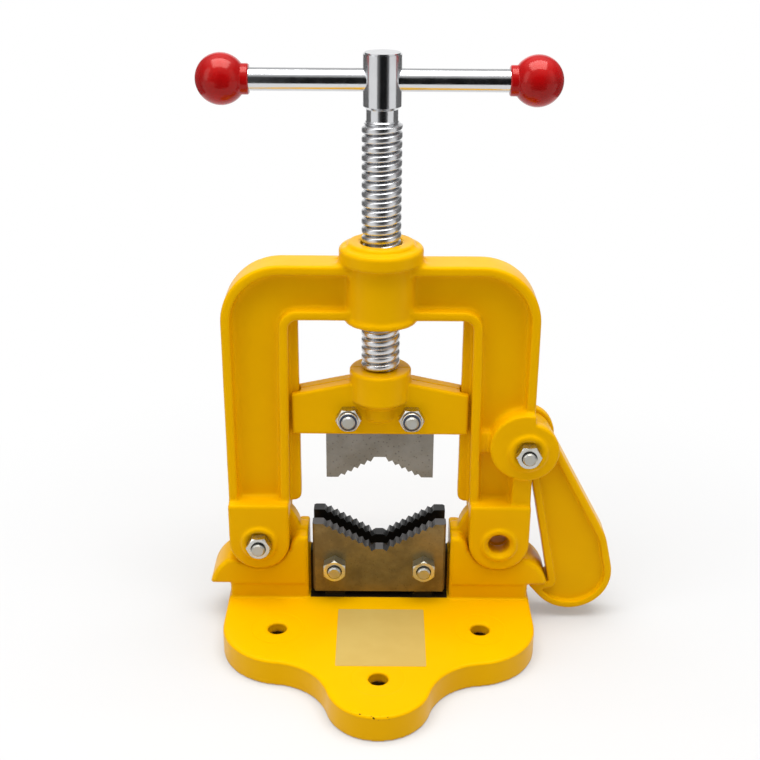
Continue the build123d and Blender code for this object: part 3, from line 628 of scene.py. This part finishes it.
def makeKnobPlastic(name, values):
    # moulded plastic with faint clouds
    material, tree, shader, place = startMaterial(name)
    clouds = addNoise(tree, place, *values["cloudNoise"])
    darker = scaledColour(values["colour"], values["darker"])
    colour = addMix(tree, addRange(tree, clouds, *values["cloudSpan"]), values["colour"], darker)
    tree.links.new(colour, shader.inputs["Base Color"])
    addGloss(tree, shader, clouds, values["glossSpan"], values["roughness"])
    shader.inputs["Specular Tint"].default_value = values["sheen"]
    addBump(tree, shader, addNoise(tree, place, *values["grainNoise"]), *values["bump"])
    return material


labelFoil = {
    "gold": linearColour(198, 171, 94),
    "dark": linearColour(191, 162, 84),
    "cloudNoise": (35.0, 3.0),
    "cloudSpan": (0.3, 0.7),
    "roughness": (0.36, 0.5),
    "metal": 0.1,
    "grainNoise": (260.0, 2.0),
    "bump": (0.05, 0.0002),
}


def makeLabelFoil(name, values):
    # thin gold foil with slow clouds
    material, tree, shader, place = startMaterial(name)
    clouds = addRange(tree, addNoise(tree, place, *values["cloudNoise"]), *values["cloudSpan"])
    tree.links.new(addMix(tree, clouds, values["gold"], values["dark"]), shader.inputs["Base Color"])
    addGloss(tree, shader, clouds, (0.0, 1.0), values["roughness"])
    shader.inputs["Metallic"].default_value = values["metal"]
    addBump(tree, shader, addNoise(tree, place, *values["grainNoise"]), *values["bump"])
    return material


nylonValues = {"dark": linearColour(40, 44, 60), "light": linearColour(70, 78, 100), "cloudNoise": (500.0, 2.0),
               "glossSpan": (0.2, 0.8), "roughness": (0.4, 0.6)}


def makeNylon(name, values):
    # the lock nuts' plastic, dark blue and cloudy
    material, tree, shader, place = startMaterial(name)
    clouds = addNoise(tree, place, *values["cloudNoise"])
    tree.links.new(addMix(tree, clouds, values["dark"], values["light"]), shader.inputs["Base Color"])
    addGloss(tree, shader, clouds, values["glossSpan"], values["roughness"])
    return material


def dress(piece, material):
    # the piece's one material
    piece.data.materials.clear()
    piece.data.materials.append(material)


def dressNode(nodeName, material):
    # the material in every slot of a CAD node that keeps its shape
    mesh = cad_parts[nodeName].data
    if len(mesh.materials) == 0:
        mesh.materials.append(material)
    for index in range(len(mesh.materials)):
        mesh.materials[index] = material


paintYoke = makeYellowPaint("yellowPaint", yellowPaint)
paintBase = makeYellowPaint("yellowPaintFoot", yellowPaint, footMarksAndShade)
barSteel = makeBrightSteel("barSteel", brightSteel, "X")
boltZinc = makeZincPlate("boltZinc", boltPlate)
upperJawSteel = makeJawSteel("upperJawSteel", jawSteel)
lowerJawFront = makeScaledJaw("lowerJawScale", scaledJaw)
lowerJawRearShaded = makeScaledJaw("lowerJawRearPaintedShade", shadedRearJaw)
redPlastic = makeKnobPlastic("redKnobPlastic", knobPlastic)
nylon = makeNylon("nylonRing", nylonValues)
print("vise: materials made")


# Castings

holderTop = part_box("pusher_front_half")[1][2] * 1000.0
castFinish = {
    # how soft the edges get, and how true the faces stay
    "rounds": 4, "strength": 0.5, "returns": 2, "pull": 0.9, "softRounds": 1,
    # the hollows: their depth in rounds, the bolts (x, z, radius) that they leave out, and where the pockets are
    "hollowRounds": 0, "crispRound": (), "crispFadeMm": 4.0,
    "webMm": 2.5, "webFadeMm": 1.0, "pocketRimMm": 10.4, "rimFadeMm": 0.6,
    "pocketFromX": 57.5, "pocketFromZ": holderTop + 31.0, "pocketFadeMm": 2.0,
    # the faint wave of a sand casting
    "waveSeed": 11, "waveCount": 7, "waveMm": 24.0, "waveSpread": (0.7, 1.4), "waveScale": 4.0, "waveDepthMm": 0.05,
}
castValues = {
    "footCasting": {"nodes": ["base_foot", "base_upright"], "body": "base", "gridMm": 1.05},
    "yokeArch": {"nodes": ["yoke_casting"], "body": "yoke", "gridMm": 1.05, "hollowRounds": 26,
                 "crispRound": ((-72.0, 57.0, 20.0), (72.0, 57.0, 20.0), (86.2, 118.5, 22.0))},
    "latchArm": {"nodes": ["latch"], "body": "latch", "gridMm": 0.8},
    "holderFront": {"nodes": ["pusher_front_half"], "body": "pusher", "gridMm": 0.7},
    "holderRear": {"nodes": ["pusher_rear_half"], "body": "pusher", "gridMm": 0.7},
}
for name, values in castValues.items():
    skin = castSkin(name, {**castFinish, **values})
    dress(skin, paintBase if name == "footCasting" else paintYoke)
    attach(skin, values["body"])


# Screw with its thread

screwValues = {
    "majorMm": 11.0,
    "rootMm": 8.4,
    "leadMm": 5.0,
    "rowsPerLead": 26,
    "columns": 96,
    "roundPower": 3.8,
    # (height, radius) of the collar above the screw's end, and of the groove's top above the thread's start
    "collarRows": ((0.0, 8.5), (0.4, 9.1), (1.0, 9.5), (8.1, 9.5), (8.5, 9.3), (8.6, 7.2), (8.9, 7.0)),
    "grooveRows": ((-0.3, 7.0), (0.0, 7.2)),
    "collarMm": 8.5,
    "grooveMm": 7.4,
    "leadInMm": 0.3,
    "fadeInMm": 1.0,
    "fadeOutMm": 1.2,
    # (height above the thread's top, radius more than the neck's)
    "neckRows": ((-0.6, 0.5), (0.0, 0.0)),
    "neckMm": 8.1,
    "neckRadiusMm": 8.6,
    "neckUnderHeadMm": 1.0,
    "headMm": 27.0,
    "headLongerMm": 2.1,
    "headChamferMm": 1.6,
    "headBevelMm": 0.8,
    "barClearMm": 1.0,
    "nearMm": 0.05,
    "sharpDegrees": 35.0,
}


def screwProfile(values):
    # rows of (height, radius, thread share): the share fades in and out over the first and last turn
    low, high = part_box("spindle")
    low, high = low[2] * 1000.0, high[2] * 1000.0
    headLow = high - values["headMm"]
    top = headLow - values["neckMm"]
    end = top - values["fadeOutMm"]
    start = low + values["collarMm"] + values["grooveMm"] + values["leadInMm"]
    count = int((end - start - values["leadInMm"]) / values["leadMm"] * values["rowsPerLead"])
    z = np.linspace(start + values["leadInMm"], end, count)
    fade = np.minimum(1.0, np.minimum((end - z) / values["fadeOutMm"], (z - start) / values["fadeInMm"]))
    neck, under = values["neckRadiusMm"], values["neckUnderHeadMm"]
    below = [(low + h, r, 0.0) for h, r in values["collarRows"]]
    below += [(start + h, r, 0.0) for h, r in values["grooveRows"]]
    above = [(top + h, neck + r, 0.0) for h, r in values["neckRows"]]
    above += [(headLow - under, neck, 0.0), (headLow + under, neck, 0.0)]
    return np.concatenate([below, np.column_stack([z, np.full(count, values["rootMm"]), fade]), above]), headLow


def shapedHead(headLow, values):
    # the solid's own head above the neck, its lower part drawn out a little and its top chamfer narrower
    points, triangles = readMerged("spindle")
    near = values["nearMm"] / 1000.0
    triangles = triangles[points[triangles][:, :, 2].min(1) > headLow / 1000.0 - near]
    used, packed = np.unique(triangles, return_inverse=True)
    head = points[used]
    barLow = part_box("handle_bar")[0][2] - values["barClearMm"] / 1000.0
    head[:, 2] -= np.where(head[:, 2] < barLow, values["headLongerMm"] / 1000.0, 0.0)
    # the chamfer's lower ring goes up and its upper ring goes out
    away = np.hypot(head[:, 0], head[:, 1])
    top = head[:, 2].max()
    chamfer, bevel = values["headChamferMm"] / 1000.0, values["headBevelMm"] / 1000.0
    lowerRing = (np.abs(head[:, 2] - (top - chamfer)) < near) & (away > away.max() - near)
    upperRing = (np.abs(head[:, 2] - top) < near) & (np.abs(away - (away.max() - chamfer)) < near)
    print("vise: head chamfer points", int(lowerRing.sum()), int(upperRing.sum()))
    head[lowerRing, 2] = top - bevel
    head[upperRing, :2] *= ((away.max() - bevel) / away[upperRing])[:, None]
    return head, packed.reshape(-1, 3)


def buildScrew(values):
    # with t the turns from the nearest crest, between 0 and a half, of the phase z / lead - angle / full turn,
    # the radius is the root's plus the thread's height times 1 - (2 t) to the power of the round
    rows, headLow = screwProfile(values)
    columns = values["columns"]
    angle = np.linspace(0.0, 2.0 * np.pi, columns, endpoint=False)
    phase = rows[:, :1] / values["leadMm"] - angle[None, :] / (2.0 * np.pi)
    turns = np.abs(phase - np.round(phase))
    crest = 1.0 - (2.0 * turns) ** values["roundPower"]
    radii = rows[:, 1:2] + rows[:, 2:3] * (values["majorMm"] - values["rootMm"]) * crest
    points = turnedPoints(rows[:, 0] / 1000.0, radii / 1000.0, columns)
    faces = gridFaces(len(rows), columns).tolist()
    last = (len(rows) - 1) * columns
    faces += [list(range(columns))[::-1], list(range(last, last + columns))]
    head, headTriangles = shapedHead(headLow, values)
    faces += (headTriangles + len(points)).tolist()
    piece = makeObject("screw", np.concatenate([points, head]), faces)
    piece.data.set_sharp_from_angle(angle=math.radians(values["sharpDegrees"]))
    return piece


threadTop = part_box("spindle")[1][2] - (screwValues["headMm"] + screwValues["neckMm"]) / 1000.0
screw = buildScrew(screwValues)
dress(screw, makeBrightSteel("screwSteel", brightSteel, "Z", threadTop))
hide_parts("spindle")
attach(screw, "spindle")
print("vise: screw", len(screw.data.polygons), "faces")


# Sliding bar and its balls

barValues = {"radiusMm": 6.0, "shoulderMm": 70.5, "stubMm": 4.0, "stubEndMm": 82.5, "bevelMm": 0.6, "columns": 72,
             "sharpDegrees": 35.0}
low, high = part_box("handle_bar")
barX, barZ = (low[0] + high[0]) / 2.0, (low[2] + high[2]) / 2.0
b = barValues
halfProfile = [(b["shoulderMm"] - b["bevelMm"], b["radiusMm"]), (b["shoulderMm"], b["radiusMm"] - b["bevelMm"]),
               (b["shoulderMm"], b["stubMm"]), (b["stubEndMm"], b["stubMm"]), (b["stubEndMm"], 0.0)]
barProfile = [(-x, radius) for x, radius in halfProfile[::-1]] + halfProfile
bar = turnedPiece("slidingBar", barProfile, b["columns"], (barX, 0.0, barZ))
bar.data.set_sharp_from_angle(angle=math.radians(b["sharpDegrees"]))
dress(bar, barSteel)
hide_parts("handle_bar")
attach(bar, "handle")

ballValues = {
    "radiusMm": 13.5,
    "reachMm": 83.0,
    "rows": 40,
    "columns": 72,
    "collarMm": 8.0,
    "collarEndMm": 14.7,
    # (along, outwards) from the collar's end and radius, and from where the collar meets the ball
    "endRows": ((0.0, -0.7), (0.3, -0.2), (0.8, 0.0)),
    "meetRows": ((-0.9, 0.0), (-0.3, 0.3)),
    "meetMm": 0.8,
}


def ballProfile(values):
    # the collar, then the ball: at angle t from the collar's side, x is -r cos t and the radius is r sin t
    radius, collar = values["radiusMm"], values["collarMm"]
    meet = math.asin((collar + values["meetMm"]) / radius)
    rows = [(-values["collarEndMm"], 0.0)]
    rows += [(-values["collarEndMm"] + x, collar + out) for x, out in values["endRows"]]
    rows += [(-radius * math.cos(meet) + x, collar + out) for x, out in values["meetRows"]]
    t = np.linspace(meet, np.pi, values["rows"])
    return np.concatenate([rows, np.column_stack([-radius * np.cos(t), radius * np.sin(t)])])


for side, word in ((-1, "left"), (1, "right")):
    v = ballValues
    rows = ballProfile(v) * (side, 1)
    ball = turnedPiece(f"ballGrip{word.capitalize()}", rows[::side], v["columns"],
                       (barX + side * v["reachMm"] / 1000.0, 0.0, barZ))
    dress(ball, redPlastic)
    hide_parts(f"handle_ball_{word}")
    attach(ball, "handle")
print("vise: bar and balls made")


# Lock nut rings

# closed section, (height above the nut's outer face, radius)
ringValues = {"rows": ((-1.4, 4.15), (0.05, 4.15), (0.12, 4.4), (0.12, 4.9), (0.0, 5.15), (-1.4, 5.15)),
              "columns": 48, "sharpDegrees": 40.0}
for word in ("left", "right"):
    low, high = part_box(f"pusher_nut_{word}")
    centre = ((low[0] + high[0]) / 2.0, low[1], (low[2] + high[2]) / 2.0)
    section = np.array(ringValues["rows"]) / 1000.0
    points = turnedPoints(section[:, 0], section[:, 1], ringValues["columns"])
    points = np.stack([points[:, 0], -points[:, 2], points[:, 1]], -1) + np.array(centre)
    ring = makeObject(f"nylonRing{word.capitalize()}", points,
                      gridFaces(len(section), ringValues["columns"], closed=True))
    ring.data.set_sharp_from_angle(angle=math.radians(ringValues["sharpDegrees"]))
    dress(ring, nylon)
    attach(ring, "pusher")


# Blank label on the foot

labelValues = {"centreMm": (1.3, -53.4), "sizeMm": (51.5, 55.5), "cornerMm": 0.8, "cornerPoints": 7, "thickMm": 0.22,
               "footTopMm": 16.4, "sunkMm": 0.3, "bevelMm": 0.03, "bevelInMm": -0.05}


def buildLabel(values):
    # outline of a rounded rectangle, carried from the paint up by the label's thickness
    r = values["cornerMm"]
    x, y = values["sizeMm"][0] / 2 - r, values["sizeMm"][1] / 2 - r
    outline = []
    for cx, cy, start in ((x, y, 0), (-x, y, 90), (-x, -y, 180), (x, -y, 270)):
        t = np.radians(np.linspace(start, start + 90, values["cornerPoints"]))
        outline.append(np.stack([cx + r * np.cos(t), cy + r * np.sin(t)], -1))
    outline = np.concatenate(outline) + np.array(values["centreMm"])
    outward = outline - outline.mean(0)
    outward = outward / np.linalg.norm(outward, axis=1)[:, None]
    low, high = values["footTopMm"] - values["sunkMm"], values["footTopMm"] + values["thickMm"]
    rings = [(low, 0.0), (high - values["bevelMm"], 0.0), (high, values["bevelInMm"])]
    count = len(outline)
    points = np.concatenate([np.column_stack([outline + outward * grow, np.full(count, z)]) for z, grow in rings])
    faces = gridFaces(len(rings), count).tolist()
    faces += [list(range(count))[::-1], list(range(2 * count, 3 * count))]
    return makeObject("blankLabel", points / 1000.0, faces, smooth=False)


label = buildLabel(labelValues)
dress(label, makeLabelFoil("goldFoil", labelFoil))
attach(label, "base")
print("vise: nut rings and label made")


# CAD nodes that keep their shape

dressNode("upper_jaw", upperJawSteel)
dressNode("lower_jaw_front", lowerJawFront)
dressNode("lower_jaw_rear", lowerJawRearShaded)
for nodeName in ("pivot_bolt", "latch_bolt", "lower_jaw_bolt_left", "lower_jaw_bolt_right", "pusher_bolt_left",
                 "pusher_bolt_right"):
    dressNode(nodeName, boltZinc)
for nodeName, plate in (("pivot_nut", zincPlate), ("latch_nut", zincPlate), ("lower_jaw_nut_left", jawNutPlate),
                        ("lower_jaw_nut_right", jawNutPlate), ("pusher_nut_left", zincPlate),
                        ("pusher_nut_right", zincPlate)):
    low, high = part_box(nodeName)
    axis = ((low[0] + high[0]) / 2.0, (low[2] + high[2]) / 2.0)
    dressNode(nodeName, makeZincPlate(nodeName + "Zinc", plate, axis))
print("vise: CAD nodes dressed")


# Floor and cards

floorValues = {
    "size": 6.0,
    "below": 0.0001,
    "colour": linearColour(204, 204, 204),
    "roughness": 0.9,
    "shine": 0.1,
    "glowCentre": (0.02, -0.03),
    "glowSpan": (0.16, 0.42),
    "glow": (0.25, 1.0),
    "holeSpan": (0.020, 0.022),
}


def makeFloorPaper(name, values):
    # the paper glows white away from the vise and keeps its shadow near it; under the bench holes it doesn't glow
    material, tree, shader, place = startMaterial(name)
    shader.inputs["Base Color"].default_value = values["colour"]
    shader.inputs["Roughness"].default_value = values["roughness"]
    shader.inputs["Specular IOR Level"].default_value = values["shine"]
    axes = splitAxes(tree, place)
    level = addRange(tree, distanceTo(tree, axes, values["glowCentre"]), *values["glowSpan"], *values["glow"])
    for hole in footMarksAndShade["holes"]:
        level = addProduct(tree, level, addRange(tree, distanceTo(tree, axes, hole), *values["holeSpan"]))
    glow = tree.nodes.new("ShaderNodeEmission")
    glow.inputs["Color"].default_value = (1.0, 1.0, 1.0, 1.0)
    blend = tree.nodes.new("ShaderNodeMixShader")
    path = tree.nodes.new("ShaderNodeLightPath")
    seen = addMath(tree, "ADD", path.outputs["Is Camera Ray"], path.outputs["Is Glossy Ray"])
    seen = addMath(tree, "ADD", seen, path.outputs["Is Transmission Ray"], clamp=True)
    tree.links.new(addProduct(tree, seen, level), blend.inputs["Fac"])
    tree.links.new(shader.outputs[0], blend.inputs[1])
    tree.links.new(glow.outputs[0], blend.inputs[2])
    tree.links.new(blend.outputs[0], tree.nodes["Material Output"].inputs["Surface"])
    return material


floorPoints = np.array([[-1, -1, 0], [1, -1, 0], [1, 1, 0], [-1, 1, 0]]) * floorValues["size"] / 2.0
floor = makeObject("studioFloor", floorPoints - np.array([0, 0, floorValues["below"]]), [[0, 1, 2, 3]], smooth=False)
dress(floor, makeFloorPaper("studioFloorPaper", floorValues))

# cards that only reflections see: a dark one in front gives polished steel its dark middle, grey ones its sides
sideCard = linearColour(112, 112, 112)
cardValues = {
    "front": {"line": ((-0.27, -0.45), (0.38, -0.45)), "low": 0.03, "top": 0.61, "colour": linearColour(26, 27, 28),
              "edge": linearColour(150, 151, 153), "plainShare": 0.35, "topFade": 0.06},
    "left": {"line": ((-0.45, 0.85), (-0.45, -0.03)), "low": 0.0, "top": 0.60, "colour": sideCard},
    "right": {"line": ((0.45, -0.03), (0.45, 0.85)), "low": 0.0, "top": 0.60, "colour": sideCard},
}
feltNoise, feltLighter = (40.0, 3.0), 1.3


def makeCardFelt(name, values):
    # dull felt; a card with an edge colour fades to it at its left, right and top, for soft reflections
    material, tree, shader, place = startMaterial(name)
    shader.inputs["Roughness"].default_value = 1.0
    shader.inputs["Specular IOR Level"].default_value = 0.0
    lighter = scaledColour(values["colour"], feltLighter)
    felt = addMix(tree, addNoise(tree, place, *feltNoise), values["colour"], lighter)
    if "edge" in values:
        axes = splitAxes(tree, place)
        left, right = [x for x, y in values["line"]]
        half = (right - left) / 2.0
        away = addMath(tree, "ABSOLUTE", addMath(tree, "SUBTRACT", axes["X"], (left + right) / 2.0))
        sides = addRange(tree, away, half * values["plainShare"], half)
        above = addRange(tree, axes["Z"], values["top"] - values["topFade"], values["top"])
        felt = addMix(tree, addMath(tree, "MAXIMUM", sides, above), felt, values["edge"])
    tree.links.new(felt, shader.inputs["Base Color"])
    return material


for word, values in cardValues.items():
    (x0, y0), (x1, y1) = values["line"]
    corners = [[x0, y0, values["low"]], [x1, y1, values["low"]], [x1, y1, values["top"]], [x0, y0, values["top"]]]
    card = makeObject(f"{word}Card", np.array(corners), [[0, 1, 2, 3]], smooth=False)
    dress(card, makeCardFelt(f"{word}CardFelt", values))
    card.visible_camera = False
    card.visible_diffuse = False
    card.visible_shadow = False
print("vise: floor and cards made")


# World, lamps and camera

worldValues = {
    "front": 0.2,
    "side": 0.6,
    "rear": 0.22,
    "low": 0.6,
    "high": 0.8,
    "panelSpan": (-0.85, -0.7),
    "roomSpan": (-0.25, 0.0),
    "highSpan": (0.45, 0.8),
    "lowSpan": (-0.2, 0.3),
    "backdropSpan": (0.80, 0.90),
}


def makeStudioWorld(name, values):
    # white panels stand left and right of the front; behind them the room is grey, up to the white backdrop
    world = bpy.data.worlds.new(name)
    world.use_nodes = True
    tree = world.node_tree
    background = tree.nodes["Background"]
    path = tree.nodes.new("ShaderNodeLightPath").outputs
    axes = splitAxes(tree, tree.nodes.new("ShaderNodeTexCoord").outputs["Generated"])
    panel = addRange(tree, axes["Y"], *values["panelSpan"], values["front"], values["side"])
    room = addRange(tree, axes["Y"], *values["roomSpan"])
    level = addMath(tree, "MULTIPLY_ADD", room, values["rear"] - values["side"], panel)
    level = addMath(tree, "MAXIMUM", level, addRange(tree, axes["Z"], *values["highSpan"], 0.0, values["high"]))
    level = addProduct(tree, level, addRange(tree, axes["Z"], *values["lowSpan"], values["low"], 1.0))
    backdrop = addRange(tree, axes["Y"], *values["backdropSpan"])
    mirrored = addMath(tree, "ADD", path["Is Glossy Ray"], path["Is Transmission Ray"], clamp=True)
    level = addMath(tree, "MAXIMUM", level, addProduct(tree, mirrored, backdrop))
    tree.links.new(addMath(tree, "MAXIMUM", level, path["Is Camera Ray"]), background.inputs["Strength"])
    background.inputs["Color"].default_value = (1.0, 1.0, 1.0, 1.0)
    return world


bpy.context.scene.world = makeStudioWorld("studioWorld", worldValues)

lampValues = {
    "overhead": {"place": (0.0, -0.12, 1.5), "target": (0.0, 0.0, 0.1), "size": (1.4, 1.0), "power": 27.5},
    "left": {"place": (-1.2, -0.6, 0.8), "target": (0.0, 0.0, 0.15), "size": (0.5, 1.2), "power": 3.0},
    "right": {"place": (1.2, -0.6, 0.8), "target": (0.0, 0.0, 0.15), "size": (0.5, 1.2), "power": 0.8},
}


def addLamp(name, place, target, size, power):
    # a soft rectangular lamp at its place, turned towards its target
    data = bpy.data.lights.new(name, "AREA")
    data.shape = "RECTANGLE"
    data.size, data.size_y = size
    data.energy = power
    lamp = bpy.data.objects.new(name, data)
    bpy.context.scene.collection.objects.link(lamp)
    aim = Vector(target) - Vector(place)
    lamp.matrix_world = Matrix.Translation(Vector(place)) @ aim.to_track_quat("-Z", "Y").to_matrix().to_4x4()


for word, values in lampValues.items():
    addLamp("lamp" + word.capitalize(), **values)

cameraValues = {"place": (-0.0002, -0.6375, 0.4359), "pitchDown": 23.6, "roll": 0.4, "lensMm": 56.84, "sensorMm": 36.0,
                "clipStart": 0.01}
cameraData = bpy.data.cameras.new("photoCamera")
cameraData.sensor_width = cameraValues["sensorMm"]
cameraData.sensor_fit = "AUTO"
cameraData.lens = cameraValues["lensMm"]
cameraData.clip_start = cameraValues["clipStart"]
camera = bpy.data.objects.new("photoCamera", cameraData)
bpy.context.scene.collection.objects.link(camera)
camera.matrix_world = (
    Matrix.Translation(Vector(cameraValues["place"]))
    @ Matrix.Rotation(math.radians(90.0 - cameraValues["pitchDown"]), 4, "X")
    @ Matrix.Rotation(math.radians(cameraValues["roll"]), 4, "Z")
)
bpy.context.scene.camera = camera
bpy.context.scene.view_settings.view_transform = "Standard"
print("vise: camera and lamps set")
